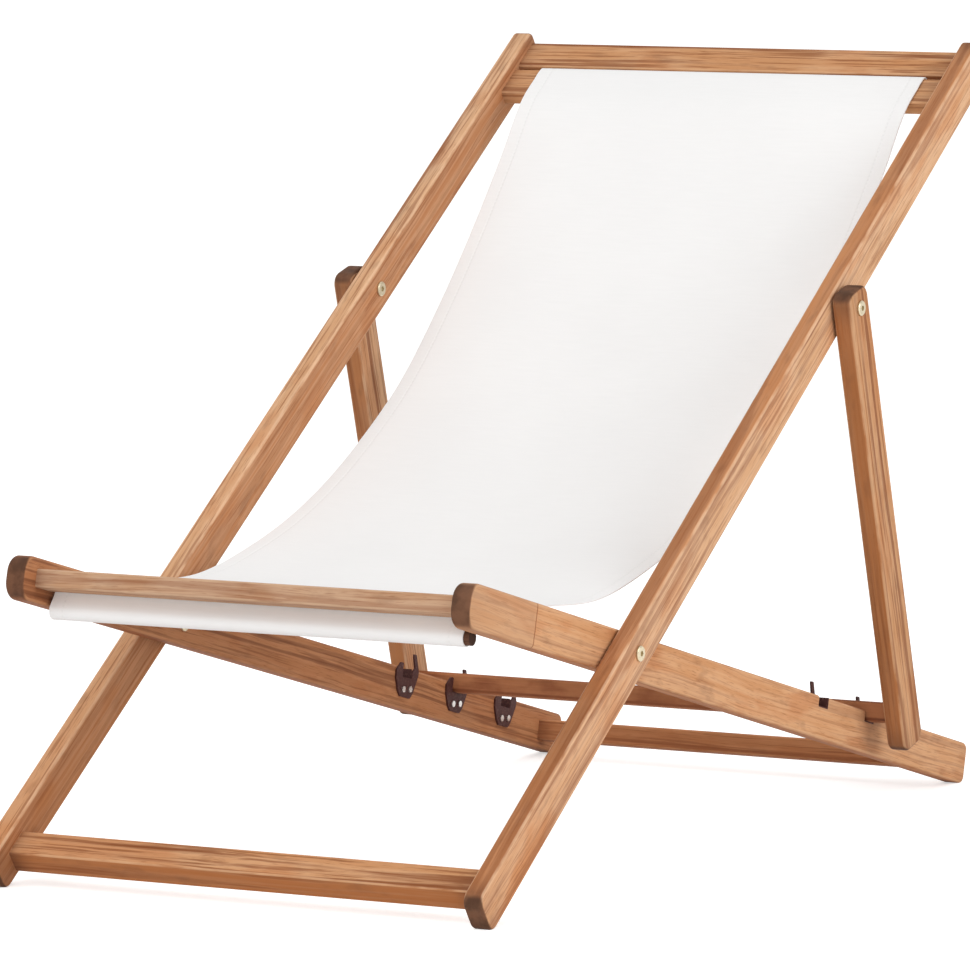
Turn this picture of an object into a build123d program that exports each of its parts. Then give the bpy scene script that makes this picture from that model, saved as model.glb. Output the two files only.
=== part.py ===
"""Folding deck chair: three hinged wooden frames, hook plates and a fabric sling."""
import os
from math import atan2, cos, degrees, hypot, radians, sin

from build123d import *

os.makedirs("parts", exist_ok=True)

# Timber sections, in mm
STOCK = 20.0
BACK_DEPTH = 42.0
SEAT_DEPTH = 42.0
STRUT_DEPTH = 42.0
EDGE = 3.5
RAIL_EDGE = 2.5

# Stance: heights, slopes and stations measured from the frame pivot
PIVOT_HEIGHT = 218.5
BACK_ANGLE = 34.6
SEAT_ANGLE = -14.5
HALF_INNER = 247.0
SIDE_GAP = 2.0
BACK_TOP = 926.0
SEAT_FRONT = 298.0
PROP_STATION = 517.0
NOTCH_PITCH = 108.5
NOTCH_TO_REAR_RAIL = 82.0

# Rounded ends, and the small flat that each foot stands on
FOOT_RADIUS = 12.0
REAR_RADIUS = 8.0
TOP_RADIUS = 8.0
NOSE_RADIUS = 17.0
STRUT_RADIUS = 12.0
FOOT_FLAT = 0.4

# Prop bar and its notches
NOTCH_WIDTH = 20.6
NOTCH_DEPTH = 10.2
BAR_WIDTH = 16.0
BAR_HEIGHT = 20.0
BAR_EDGE = 4.0
BAR_REAR_PLAY = 0.3
BAR_FLOOR_PLAY = 0.05
BAR_PIN_RADIUS = 6.0
STRUT_OVER = 19.5
STRUT_UNDER = 34.0

# Cross rails: inset from the end of their frame, width, slot, and the faces across the frame
TOP_INSET = 5.0
TOP_WIDTH = 40.0
FOOT_INSET = 25.0
FOOT_WIDTH = 31.0
FRONT_INSET = 22.0
FRONT_WIDTH = 30.0
FRONT_SLOT_WIDTH = 34.0
REAR_INSET = 33.0
REAR_WIDTH = 19.0
SLING_SLOT = 6.0
TOP_RAIL_FACES = (-7.0, 9.0)
FOOT_RAIL_FACES = (-17.0, 7.0)
FRONT_RAIL_FACES = (-7.0, 10.5)
REAR_RAIL_FACES = (-12.0, 9.5)
TENON_LENGTH = 12.0
TENON_INSET = 4.0

# Hook plates and their screws
PLATE = 2.0
SADDLE = 1.2
LIP_RISE = 14.0
FINGER_RISE = 25.5
FINGER_LEAN = 1.5
FINGER_WIDTH = 5.5
PLATE_DROP = 20.0
SCREW_RADIUS = 1.5
SCREW_HEAD_RADIUS = 3.2
SCREW_HEAD_HEIGHT = 1.6
SCREW_LENGTH = 12.0

# Pivot bolts with sleeve nuts
HEAD_RADIUS = 7.5
HEAD_HEIGHT = 2.6
RIM = 0.9
SLEEVE_RADIUS = 4.0
STUD_RADIUS = 3.0
RUN_FIT = 0.05
WASHER_RADIUS = 9.0
END_PLAY = 0.1
SOCKET_WIDTH = 5.0
SOCKET_DEPTH = 1.8

# Sling and the rods in its hems
SLING_THICK = 1.2
ROD_RADIUS = 7.0
ROD_END_GAP = 3.0
ROD_SHOWS = 6.0
TOP_ROD_PLAY = 0.05
FRONT_ROD_PLAY = 0.3
FRONT_ROD_DROP = 8.5
SLING_LIFT = 1.4

# Sides of each member, from the middle of the chair outwards
SEAT_OUT = HALF_INNER - SIDE_GAP
SEAT_IN = SEAT_OUT - STOCK
BACK_IN = HALF_INNER
BACK_OUT = BACK_IN + STOCK
STRUT_IN = BACK_OUT + SIDE_GAP
STRUT_OUT = STRUT_IN + STOCK
ROD_HALF = SEAT_IN - ROD_END_GAP
SLING_HALF = ROD_HALF - ROD_SHOWS

# Lengths that bring all four feet to the floor
back_slope = radians(BACK_ANGLE)
seat_slope = radians(SEAT_ANGLE)
drop = PIVOT_HEIGHT + FOOT_FLAT
back_round = (drop - FOOT_RADIUS - (BACK_DEPTH / 2 - FOOT_RADIUS) * cos(back_slope)) / sin(back_slope)
seat_round = (drop - REAR_RADIUS - (SEAT_DEPTH / 2 - REAR_RADIUS) * cos(seat_slope)) / sin(-seat_slope)
BACK_FOOT = -back_round - FOOT_RADIUS
SEAT_REAR = seat_round + REAR_RADIUS

# Places of the cross rails and the notches, from the ends of their frames
TOP_RAIL = (BACK_TOP - TOP_INSET - TOP_WIDTH, BACK_TOP - TOP_INSET)
TOP_SLOT_RAIL = (TOP_RAIL[0] - SLING_SLOT - TOP_WIDTH, TOP_RAIL[0] - SLING_SLOT)
FOOT_RAIL = (BACK_FOOT + FOOT_INSET, BACK_FOOT + FOOT_INSET + FOOT_WIDTH)
FRONT_RAIL = (FRONT_INSET - SEAT_FRONT, FRONT_INSET + FRONT_WIDTH - SEAT_FRONT)
FRONT_SLOT_RAIL = (FRONT_RAIL[1] + SLING_SLOT, FRONT_RAIL[1] + SLING_SLOT + FRONT_SLOT_WIDTH)
REAR_RAIL = (SEAT_REAR - REAR_INSET - REAR_WIDTH, SEAT_REAR - REAR_INSET)
NOTCH_MID = REAR_RAIL[0] - NOTCH_TO_REAR_RAIL - NOTCH_PITCH

# The pivot's place that centres the chair front to back
front_reach = back_round * cos(back_slope) + (BACK_DEPTH / 2 - FOOT_RADIUS) * sin(back_slope) + FOOT_RADIUS
rear_reach = seat_round * cos(seat_slope) + (SEAT_DEPTH / 2 - REAR_RADIUS) * sin(-seat_slope) + REAR_RADIUS
PIVOT_Y = (front_reach - rear_reach) / 2


def place(angle, along, across):
    """Give the front-to-back and upward position of a point stated along and across a frame."""
    slope = radians(angle)
    y = PIVOT_Y + along * cos(slope) - across * sin(slope)
    z = PIVOT_HEIGHT + along * sin(slope) + across * cos(slope)
    return y, z


def frame_plane(angle, x, y=PIVOT_Y, z=PIVOT_HEIGHT):
    """Give a sketch plane whose first axis runs along a frame and whose normal points to the right."""
    slope = radians(angle)
    return Plane(origin=(x, y, z), x_dir=(0, cos(slope), sin(slope)), z_dir=(1, 0, 0))


# The prop's triangle: pivot on the back rail, bar against the rear wall of the middle notch
prop_y, prop_z = place(BACK_ANGLE, PROP_STATION, 0)
NOTCH_FLOOR = SEAT_DEPTH / 2 - NOTCH_DEPTH
BAR_SHIFT = (NOTCH_WIDTH - BAR_WIDTH) / 2 - BAR_REAR_PLAY
bar_along = NOTCH_MID + BAR_SHIFT
bar_across = NOTCH_FLOOR + BAR_FLOOR_PLAY + BAR_HEIGHT / 2
bar_y, bar_z = place(SEAT_ANGLE, bar_along, bar_across)
BAR_STATION = hypot(bar_y - prop_y, bar_z - prop_z)
STRUT_ANGLE = degrees(atan2(bar_z - prop_z, bar_y - prop_y))


def side_rail(plane, start, end, depth, start_radius, end_radius):
    """Make one flat side member with rounded ends and eased edges."""
    with BuildPart() as rail:
        with BuildSketch(plane) as profile:
            with Locations(((start + end) / 2, 0)):
                Rectangle(end - start, depth)
            fillet(profile.vertices().sort_by(Axis.X)[:2], start_radius)
            fillet(profile.vertices().sort_by(Axis.X)[-2:], end_radius)
        extrude(amount=STOCK)
        outer = rail.faces().sort_by(Axis.X)[-1].edges()
        inner = rail.faces().sort_by(Axis.X)[0].edges()
        fillet(outer + inner, EDGE)
    return rail.part


def tenon_block(angle, along, across, half, reach):
    """Make the block that a tenon fills, from one side of the chair to the other."""
    width = along[1] - along[0] - 2 * TENON_INSET
    height = across[1] - across[0] - 2 * TENON_INSET
    with BuildPart() as block:
        with BuildSketch(frame_plane(angle, -half - reach)):
            with Locations(((along[0] + along[1]) / 2, (across[0] + across[1]) / 2)):
                Rectangle(width, height)
        extrude(amount=2 * (half + reach))
    return block.part


def cross_rail(angle, along, across, half):
    """Make one cross rail with a tenon on each end."""
    with BuildPart() as rail:
        with BuildSketch(frame_plane(angle, -half)):
            with Locations(((along[0] + along[1]) / 2, (across[0] + across[1]) / 2)):
                Rectangle(along[1] - along[0], across[1] - across[0])
        extrude(amount=2 * half)
        fillet(rail.edges().filter_by(Axis.X), RAIL_EDGE)
        add(tenon_block(angle, along, across, half, TENON_LENGTH))
    return rail.part


def rod(y, z, radius, start, end):
    """Make a round bar across the chair."""
    with BuildPart() as bar:
        with BuildSketch(Plane(origin=(start, y, z), x_dir=(0, 1, 0), z_dir=(1, 0, 0))):
            Circle(radius)
        extrude(amount=end - start)
    return bar.part


back_mortises = [
    tenon_block(BACK_ANGLE, TOP_RAIL, TOP_RAIL_FACES, BACK_IN, TENON_LENGTH),
    tenon_block(BACK_ANGLE, TOP_SLOT_RAIL, TOP_RAIL_FACES, BACK_IN, TENON_LENGTH),
    tenon_block(BACK_ANGLE, FOOT_RAIL, FOOT_RAIL_FACES, BACK_IN, TENON_LENGTH),
]
seat_mortises = [
    tenon_block(SEAT_ANGLE, FRONT_RAIL, FRONT_RAIL_FACES, SEAT_IN, TENON_LENGTH),
    tenon_block(SEAT_ANGLE, FRONT_SLOT_RAIL, FRONT_RAIL_FACES, SEAT_IN, TENON_LENGTH),
    tenon_block(SEAT_ANGLE, REAR_RAIL, REAR_RAIL_FACES, SEAT_IN, TENON_LENGTH),
]


def back_rail(x):
    """Make one long rail, with mortises, two pivot holes and a flat foot."""
    with BuildPart() as rail:
        plane = frame_plane(BACK_ANGLE, x)
        add(side_rail(plane, BACK_FOOT, BACK_TOP, BACK_DEPTH, FOOT_RADIUS, TOP_RADIUS))
        split(bisect_by=Plane.XY, keep=Keep.TOP)
        for block in back_mortises:
            add(block, mode=Mode.SUBTRACT)
        add(rod(PIVOT_Y, PIVOT_HEIGHT, SLEEVE_RADIUS, x - 1, x + STOCK + 1), mode=Mode.SUBTRACT)
        add(rod(prop_y, prop_z, SLEEVE_RADIUS, x - 1, x + STOCK + 1), mode=Mode.SUBTRACT)
    return rail.part


NOTCHES = [NOTCH_MID - NOTCH_PITCH, NOTCH_MID, NOTCH_MID + NOTCH_PITCH]
SCREWS = [(-6.5, NOTCH_FLOOR - 12.5), (7.5, NOTCH_FLOOR - 10.5)]


def seat_rail(x, inner):
    """Make one seat rail, with mortises, notches, screw holes, a pivot hole and a flat foot."""
    with BuildPart() as rail:
        plane = frame_plane(SEAT_ANGLE, x)
        add(side_rail(plane, -SEAT_FRONT, SEAT_REAR, SEAT_DEPTH, NOSE_RADIUS, REAR_RADIUS))
        split(bisect_by=Plane.XY, keep=Keep.TOP)
        for block in seat_mortises:
            add(block, mode=Mode.SUBTRACT)
        with BuildSketch(plane):
            with Locations(*[(station + SADDLE / 2, SEAT_DEPTH / 2) for station in NOTCHES]):
                Rectangle(NOTCH_WIDTH + SADDLE, 2 * (NOTCH_DEPTH + SADDLE))
        extrude(amount=STOCK, mode=Mode.SUBTRACT)
        hole = SCREW_LENGTH - PLATE
        start = inner if inner > 0 else inner - hole
        with BuildSketch(frame_plane(SEAT_ANGLE, start)):
            with Locations(*[(station + s, n) for station in NOTCHES for s, n in SCREWS]):
                Circle(SCREW_RADIUS)
        extrude(amount=hole, mode=Mode.SUBTRACT)
        pin_hole = SLEEVE_RADIUS + RUN_FIT
        add(rod(PIVOT_Y, PIVOT_HEIGHT, pin_hole, x - 1, x + STOCK + 1), mode=Mode.SUBTRACT)
    return rail.part


def hook_plate(x, rail_x, station):
    """Make one hook: a plate with a front lip and a leaning rear finger, and a saddle that lines the notch."""
    gap = NOTCH_WIDTH / 2
    floor = NOTCH_FLOOR
    lip = floor + LIP_RISE
    tip = floor + FINGER_RISE
    bottom = floor - PLATE_DROP
    edge = SEAT_DEPTH / 2
    outline = [
        (station - gap - 5.0, bottom + 4.5),
        (station - gap, bottom),
        (station + gap, bottom),
        (station + gap + 5.0, bottom + 6.0),
        (station + gap + 12.5, floor + 4.0),
        (station + gap + 12.5, floor + 9.0),
        (station + gap - FINGER_LEAN + FINGER_WIDTH, tip),
        (station + gap - FINGER_LEAN, tip),
        (station + gap + 4.5, floor + 11.5),
        (station + gap, floor + 7.0),
        (station + gap, floor),
        (station - gap, floor),
        (station - gap, lip),
        (station - gap - 5.0, lip),
        (station - gap - 13.0, floor + 5.0),
        (station - gap - 12.0, floor - 3.0),
    ]
    with BuildPart() as hook:
        with BuildSketch(frame_plane(SEAT_ANGLE, x)) as profile:
            Polygon(*outline, align=None)
            fillet(profile.vertices(), SADDLE)
        extrude(amount=PLATE)
        with BuildSketch(frame_plane(SEAT_ANGLE, rail_x)):
            with Locations((station + SADDLE / 2, floor - SADDLE / 2)):
                Rectangle(NOTCH_WIDTH + SADDLE, SADDLE)
            with Locations((station + gap + SADDLE / 2, (floor + edge) / 2)):
                Rectangle(SADDLE, edge - floor)
        extrude(amount=STOCK)
        with BuildSketch(frame_plane(SEAT_ANGLE, x)):
            with Locations(*[(station + s, n) for s, n in SCREWS]):
                Circle(SCREW_RADIUS)
        extrude(amount=PLATE, mode=Mode.SUBTRACT)
    return hook.part


def strut(x, inner):
    """Make one prop strut, with a pivot hole and a socket for the prop bar."""
    plane = frame_plane(STRUT_ANGLE, x, prop_y, prop_z)
    with BuildPart() as member:
        end = BAR_STATION + STRUT_UNDER
        add(side_rail(plane, -STRUT_OVER, end, STRUT_DEPTH, STRUT_RADIUS, STRUT_RADIUS))
        hole = SLEEVE_RADIUS + RUN_FIT
        add(rod(prop_y, prop_z, hole, x - 1, x + STOCK + 1), mode=Mode.SUBTRACT)
        start = inner if inner > 0 else inner - TENON_LENGTH
        add(rod(bar_y, bar_z, BAR_PIN_RADIUS, start, start + TENON_LENGTH), mode=Mode.SUBTRACT)
    return member.part


def pivot_bolt(y, z, head_face, tip, side):
    """Make a socket-head bolt whose plain shank turns into a thinner stud at half its length."""
    middle = (head_face + tip) / 2
    top = head_face + side * HEAD_HEIGHT
    with BuildPart() as bolt:
        add(rod(y, z, HEAD_RADIUS, min(head_face, top), max(head_face, top)))
        chamfer(bolt.faces().sort_by(Axis.X)[-1 if side > 0 else 0].edges(), RIM)
        add(rod(y, z, SLEEVE_RADIUS, min(head_face, middle), max(head_face, middle)))
        add(rod(y, z, STUD_RADIUS, min(middle, tip), max(middle, tip)))
        with BuildSketch(Plane(origin=(top, y, z), x_dir=(0, 1, 0), z_dir=(side, 0, 0))):
            RegularPolygon(SOCKET_WIDTH / 2, 6, major_radius=False)
        extrude(amount=-SOCKET_DEPTH, mode=Mode.SUBTRACT)
    return bolt.part


def sleeve_nut(y, z, head_face, middle, side):
    """Make a sleeve nut: a flanged head on a tube that takes the bolt's stud."""
    top = head_face + side * HEAD_HEIGHT
    with BuildPart() as nut:
        add(rod(y, z, HEAD_RADIUS, min(head_face, top), max(head_face, top)))
        chamfer(nut.faces().sort_by(Axis.X)[-1 if side > 0 else 0].edges(), RIM)
        add(rod(y, z, SLEEVE_RADIUS, min(head_face, middle), max(head_face, middle)))
        add(rod(y, z, STUD_RADIUS, min(head_face, middle), max(head_face, middle)), mode=Mode.SUBTRACT)
        with BuildSketch(Plane(origin=(top, y, z), x_dir=(0, 1, 0), z_dir=(side, 0, 0))):
            RegularPolygon(SOCKET_WIDTH / 2, 6, major_radius=False)
        extrude(amount=-SOCKET_DEPTH, mode=Mode.SUBTRACT)
    return nut.part


def washer(y, z, start, end):
    """Make a washer that fits round the pivot sleeve."""
    with BuildPart() as ring:
        add(rod(y, z, WASHER_RADIUS, start, end))
        add(rod(y, z, SLEEVE_RADIUS, start, end), mode=Mode.SUBTRACT)
    return ring.part


# Back frame
with BuildPart() as back_rail_left:
    add(back_rail(-BACK_OUT))

with BuildPart() as back_rail_right:
    add(back_rail(BACK_IN))

with BuildPart() as top_rail:
    add(cross_rail(BACK_ANGLE, TOP_RAIL, TOP_RAIL_FACES, BACK_IN))

with BuildPart() as top_slot_rail:
    add(cross_rail(BACK_ANGLE, TOP_SLOT_RAIL, TOP_RAIL_FACES, BACK_IN))

with BuildPart() as foot_rail:
    add(cross_rail(BACK_ANGLE, FOOT_RAIL, FOOT_RAIL_FACES, BACK_IN))

# The top rod sits just behind its slot, and the front rod hangs a little below its own
top_slot = (TOP_SLOT_RAIL[1] + TOP_RAIL[0]) / 2
top_loop = ROD_RADIUS + TOP_ROD_PLAY + SLING_THICK
top_rod_across = TOP_RAIL_FACES[0] - top_loop - END_PLAY
top_rod_y, top_rod_z = place(BACK_ANGLE, top_slot, top_rod_across)
front_slot = (FRONT_RAIL[1] + FRONT_SLOT_RAIL[0]) / 2
front_loop = ROD_RADIUS + FRONT_ROD_PLAY + SLING_THICK
front_rod_across = FRONT_RAIL_FACES[0] - front_loop - FRONT_ROD_DROP
front_rod_y, front_rod_z = place(SEAT_ANGLE, front_slot, front_rod_across)

with BuildPart() as top_sling_rod:
    add(rod(top_rod_y, top_rod_z, ROD_RADIUS, -ROD_HALF, ROD_HALF))

# Seat frame
with BuildPart() as seat_rail_left:
    add(seat_rail(-SEAT_OUT, -SEAT_IN))

with BuildPart() as seat_rail_right:
    add(seat_rail(SEAT_IN, SEAT_IN))

with BuildPart() as front_rail:
    add(cross_rail(SEAT_ANGLE, FRONT_RAIL, FRONT_RAIL_FACES, SEAT_IN))

with BuildPart() as front_slot_rail:
    add(cross_rail(SEAT_ANGLE, FRONT_SLOT_RAIL, FRONT_RAIL_FACES, SEAT_IN))

with BuildPart() as rear_rail:
    add(cross_rail(SEAT_ANGLE, REAR_RAIL, REAR_RAIL_FACES, SEAT_IN))

with BuildPart() as front_sling_rod:
    add(rod(front_rod_y, front_rod_z, ROD_RADIUS, -ROD_HALF, ROD_HALF))

with BuildPart() as hook_left_front:
    add(hook_plate(-SEAT_IN, -SEAT_OUT, NOTCHES[0]))

with BuildPart() as hook_left_middle:
    add(hook_plate(-SEAT_IN, -SEAT_OUT, NOTCHES[1]))

with BuildPart() as hook_left_rear:
    add(hook_plate(-SEAT_IN, -SEAT_OUT, NOTCHES[2]))

with BuildPart() as hook_right_front:
    add(hook_plate(SEAT_IN - PLATE, SEAT_IN, NOTCHES[0]))

with BuildPart() as hook_right_middle:
    add(hook_plate(SEAT_IN - PLATE, SEAT_IN, NOTCHES[1]))

with BuildPart() as hook_right_rear:
    add(hook_plate(SEAT_IN - PLATE, SEAT_IN, NOTCHES[2]))

with BuildPart() as hook_screws:
    for side in (-1, 1):
        face = side * (SEAT_IN - PLATE)
        head = face - side * SCREW_HEAD_HEIGHT
        tip = face + side * SCREW_LENGTH
        for station in NOTCHES:
            for s, n in SCREWS:
                y, z = place(SEAT_ANGLE, station + s, n)
                add(rod(y, z, SCREW_RADIUS, min(face, tip), max(face, tip)))
                add(rod(y, z, SCREW_HEAD_RADIUS, min(head, face), max(head, face)))

# Prop frame
with BuildPart() as prop_strut_left:
    add(strut(-STRUT_OUT, -STRUT_IN))

with BuildPart() as prop_strut_right:
    add(strut(STRUT_IN, STRUT_IN))

with BuildPart() as prop_bar:
    with BuildSketch(frame_plane(SEAT_ANGLE, -STRUT_IN)):
        with Locations((bar_along, bar_across)):
            Rectangle(BAR_WIDTH, BAR_HEIGHT)
    extrude(amount=2 * STRUT_IN)
    fillet(prop_bar.edges().filter_by(Axis.X), BAR_EDGE)
    add(rod(bar_y, bar_z, BAR_PIN_RADIUS, -STRUT_IN - TENON_LENGTH, STRUT_IN + TENON_LENGTH))

# Pivots: the bolts turn with the back frame
frame_tip = SEAT_IN - END_PLAY
frame_middle = (BACK_OUT + frame_tip) / 2
with BuildPart() as frame_bolts:
    add(pivot_bolt(PIVOT_Y, PIVOT_HEIGHT, BACK_OUT, frame_tip, 1))
    add(pivot_bolt(PIVOT_Y, PIVOT_HEIGHT, -BACK_OUT, -frame_tip, -1))

with BuildPart() as frame_nuts:
    add(sleeve_nut(PIVOT_Y, PIVOT_HEIGHT, frame_tip, frame_middle, -1))
    add(sleeve_nut(PIVOT_Y, PIVOT_HEIGHT, -frame_tip, -frame_middle, 1))

with BuildPart() as frame_washers:
    add(washer(PIVOT_Y, PIVOT_HEIGHT, SEAT_OUT + END_PLAY, BACK_IN))
    add(washer(PIVOT_Y, PIVOT_HEIGHT, -BACK_IN, -SEAT_OUT - END_PLAY))

prop_head = STRUT_OUT + END_PLAY
prop_middle = (prop_head + BACK_IN) / 2
with BuildPart() as prop_bolts:
    add(pivot_bolt(prop_y, prop_z, prop_head, BACK_IN, 1))
    add(pivot_bolt(prop_y, prop_z, -prop_head, -BACK_IN, -1))

with BuildPart() as prop_nuts:
    add(sleeve_nut(prop_y, prop_z, BACK_IN, prop_middle, -1))
    add(sleeve_nut(prop_y, prop_z, -BACK_IN, -prop_middle, 1))

with BuildPart() as prop_washers:
    add(washer(prop_y, prop_z, BACK_OUT, STRUT_IN - END_PLAY))
    add(washer(prop_y, prop_z, -STRUT_IN + END_PLAY, -BACK_OUT))

# Sling: up the front slot, over its rail, along a deep sag, then over the top slot rail and down its slot
rest = TOP_RAIL_FACES[1] + SLING_LIFT
seat_rest = FRONT_RAIL_FACES[1] + SLING_LIFT
front_hang = front_rod_across + front_loop - SLING_THICK / 2
top_hang = top_rod_across + top_loop - SLING_THICK / 2
sag_start = place(SEAT_ANGLE, front_slot + FRONT_SLOT_WIDTH * 0.6, seat_rest + SLING_THICK)
sag_end = place(BACK_ANGLE, TOP_SLOT_RAIL[0] - SLING_THICK, rest)
chord_y = sag_end[0] - sag_start[0]
chord_z = sag_end[1] - sag_start[1]
# Shares of the chord between the slots: along it, and below it
SAG = [(0.124, 0.080), (0.195, 0.117), (0.295, 0.1446), (0.376, 0.1575), (0.464, 0.161)]
SAG += [(0.534, 0.157), (0.620, 0.1457), (0.743, 0.110), (0.844, 0.071), (0.9155, 0.039)]
turn = SLING_SLOT / 4
centre = [place(SEAT_ANGLE, front_slot, front_hang)]
centre += [place(SEAT_ANGLE, front_slot, FRONT_RAIL_FACES[0]), place(SEAT_ANGLE, front_slot, 0)]
centre += [place(SEAT_ANGLE, front_slot, seat_rest - 3 * turn)]
centre += [place(SEAT_ANGLE, front_slot + turn, seat_rest - turn)]
centre += [place(SEAT_ANGLE, front_slot + 4 * turn, seat_rest)]
centre += [sag_start]
centre += [(sag_start[0] + t * chord_y + d * chord_z, sag_start[1] + t * chord_z - d * chord_y) for t, d in SAG]
centre += [sag_end, place(BACK_ANGLE, (TOP_SLOT_RAIL[0] + TOP_SLOT_RAIL[1]) / 2, rest)]
centre += [place(BACK_ANGLE, top_slot - 4 * turn, rest), place(BACK_ANGLE, top_slot - turn, rest - turn)]
centre += [place(BACK_ANGLE, top_slot, rest - 3 * turn), place(BACK_ANGLE, top_slot, 0)]
centre += [place(BACK_ANGLE, top_slot, top_hang)]


def eased(points, steps):
    """Give a smooth line through the points, with a few short steps between each two."""
    spans = [hypot(last[0] - first[0], last[1] - first[1]) for first, last in zip(points, points[1:])]
    runs = [((b[0] - a[0]) / span, (b[1] - a[1]) / span) for a, b, span in zip(points, points[1:], spans)]
    heads = [runs[0]]
    for index in range(1, len(spans)):
        share = spans[index - 1] / (spans[index - 1] + spans[index])
        heads.append([(1 - share) * runs[index - 1][axis] + share * runs[index][axis] for axis in (0, 1)])
    heads.append(runs[-1])
    line = []
    for index, span in enumerate(spans):
        for step in range(steps):
            part = step / steps
            rise = part * part * (3 - 2 * part)
            lead = span * part * (1 - part) ** 2
            trail = -span * part * part * (1 - part)
            middle = [(1 - rise) * points[index][axis] + rise * points[index + 1][axis] for axis in (0, 1)]
            bend = [lead * heads[index][axis] + trail * heads[index + 1][axis] for axis in (0, 1)]
            line.append((middle[0] + bend[0], middle[1] + bend[1]))
    line.append(points[-1])
    return line


middle_line = eased(centre, 3)
upper = []
lower = []
for index, (y, z) in enumerate(middle_line):
    before = middle_line[max(index - 1, 0)]
    after = middle_line[min(index + 1, len(middle_line) - 1)]
    run = hypot(after[0] - before[0], after[1] - before[1])
    shift_y = -(after[1] - before[1]) / run * SLING_THICK / 2
    shift_z = (after[0] - before[0]) / run * SLING_THICK / 2
    upper.append((y + shift_y, z + shift_z))
    lower.append((y - shift_y, z - shift_z))

with BuildPart() as sling:
    with BuildSketch(Plane(origin=(-SLING_HALF, 0, 0), x_dir=(0, 1, 0), z_dir=(1, 0, 0))):
        with BuildLine():
            Polyline(*upper)
            Polyline(*lower)
            Line(upper[0], lower[0])
            Line(upper[-1], lower[-1])
        make_face()
        with Locations((front_rod_y, front_rod_z)):
            Circle(front_loop)
            Circle(ROD_RADIUS + FRONT_ROD_PLAY, mode=Mode.SUBTRACT)
        with Locations((top_rod_y, top_rod_z)):
            Circle(top_loop)
            Circle(ROD_RADIUS + TOP_ROD_PLAY, mode=Mode.SUBTRACT)
    extrude(amount=2 * SLING_HALF)

back_rail_left.part.label = "back_rail_left"
export_step(back_rail_left.part, "parts/back_rail_left.step")
back_rail_right.part.label = "back_rail_right"
export_step(back_rail_right.part, "parts/back_rail_right.step")
top_rail.part.label = "top_rail"
export_step(top_rail.part, "parts/top_rail.step")
top_slot_rail.part.label = "top_slot_rail"
export_step(top_slot_rail.part, "parts/top_slot_rail.step")
foot_rail.part.label = "foot_rail"
export_step(foot_rail.part, "parts/foot_rail.step")
top_sling_rod.part.label = "top_sling_rod"
export_step(top_sling_rod.part, "parts/top_sling_rod.step")
seat_rail_left.part.label = "seat_rail_left"
export_step(seat_rail_left.part, "parts/seat_rail_left.step")
seat_rail_right.part.label = "seat_rail_right"
export_step(seat_rail_right.part, "parts/seat_rail_right.step")
front_rail.part.label = "front_rail"
export_step(front_rail.part, "parts/front_rail.step")
front_slot_rail.part.label = "front_slot_rail"
export_step(front_slot_rail.part, "parts/front_slot_rail.step")
rear_rail.part.label = "rear_rail"
export_step(rear_rail.part, "parts/rear_rail.step")
front_sling_rod.part.label = "front_sling_rod"
export_step(front_sling_rod.part, "parts/front_sling_rod.step")
hook_left_front.part.label = "hook_left_front"
export_step(hook_left_front.part, "parts/hook_left_front.step")
hook_left_middle.part.label = "hook_left_middle"
export_step(hook_left_middle.part, "parts/hook_left_middle.step")
hook_left_rear.part.label = "hook_left_rear"
export_step(hook_left_rear.part, "parts/hook_left_rear.step")
hook_right_front.part.label = "hook_right_front"
export_step(hook_right_front.part, "parts/hook_right_front.step")
hook_right_middle.part.label = "hook_right_middle"
export_step(hook_right_middle.part, "parts/hook_right_middle.step")
hook_right_rear.part.label = "hook_right_rear"
export_step(hook_right_rear.part, "parts/hook_right_rear.step")
hook_screws.part.label = "hook_screws"
export_step(hook_screws.part, "parts/hook_screws.step")
prop_strut_left.part.label = "prop_strut_left"
export_step(prop_strut_left.part, "parts/prop_strut_left.step")
prop_strut_right.part.label = "prop_strut_right"
export_step(prop_strut_right.part, "parts/prop_strut_right.step")
prop_bar.part.label = "prop_bar"
export_step(prop_bar.part, "parts/prop_bar.step")
frame_bolts.part.label = "frame_bolts"
export_step(frame_bolts.part, "parts/frame_bolts.step")
frame_nuts.part.label = "frame_nuts"
export_step(frame_nuts.part, "parts/frame_nuts.step")
frame_washers.part.label = "frame_washers"
export_step(frame_washers.part, "parts/frame_washers.step")
prop_bolts.part.label = "prop_bolts"
export_step(prop_bolts.part, "parts/prop_bolts.step")
prop_nuts.part.label = "prop_nuts"
export_step(prop_nuts.part, "parts/prop_nuts.step")
prop_washers.part.label = "prop_washers"
export_step(prop_washers.part, "parts/prop_washers.step")
sling.part.label = "sling"
export_step(sling.part, "parts/sling.step")
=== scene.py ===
"""Looks for the folding deck chair: oiled hardwood, a woven sling, dark hooks and pale bolts."""

from __future__ import annotations

import logging
import math
from dataclasses import dataclass, field
from enum import Enum
from typing import Iterable, Sequence

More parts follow.
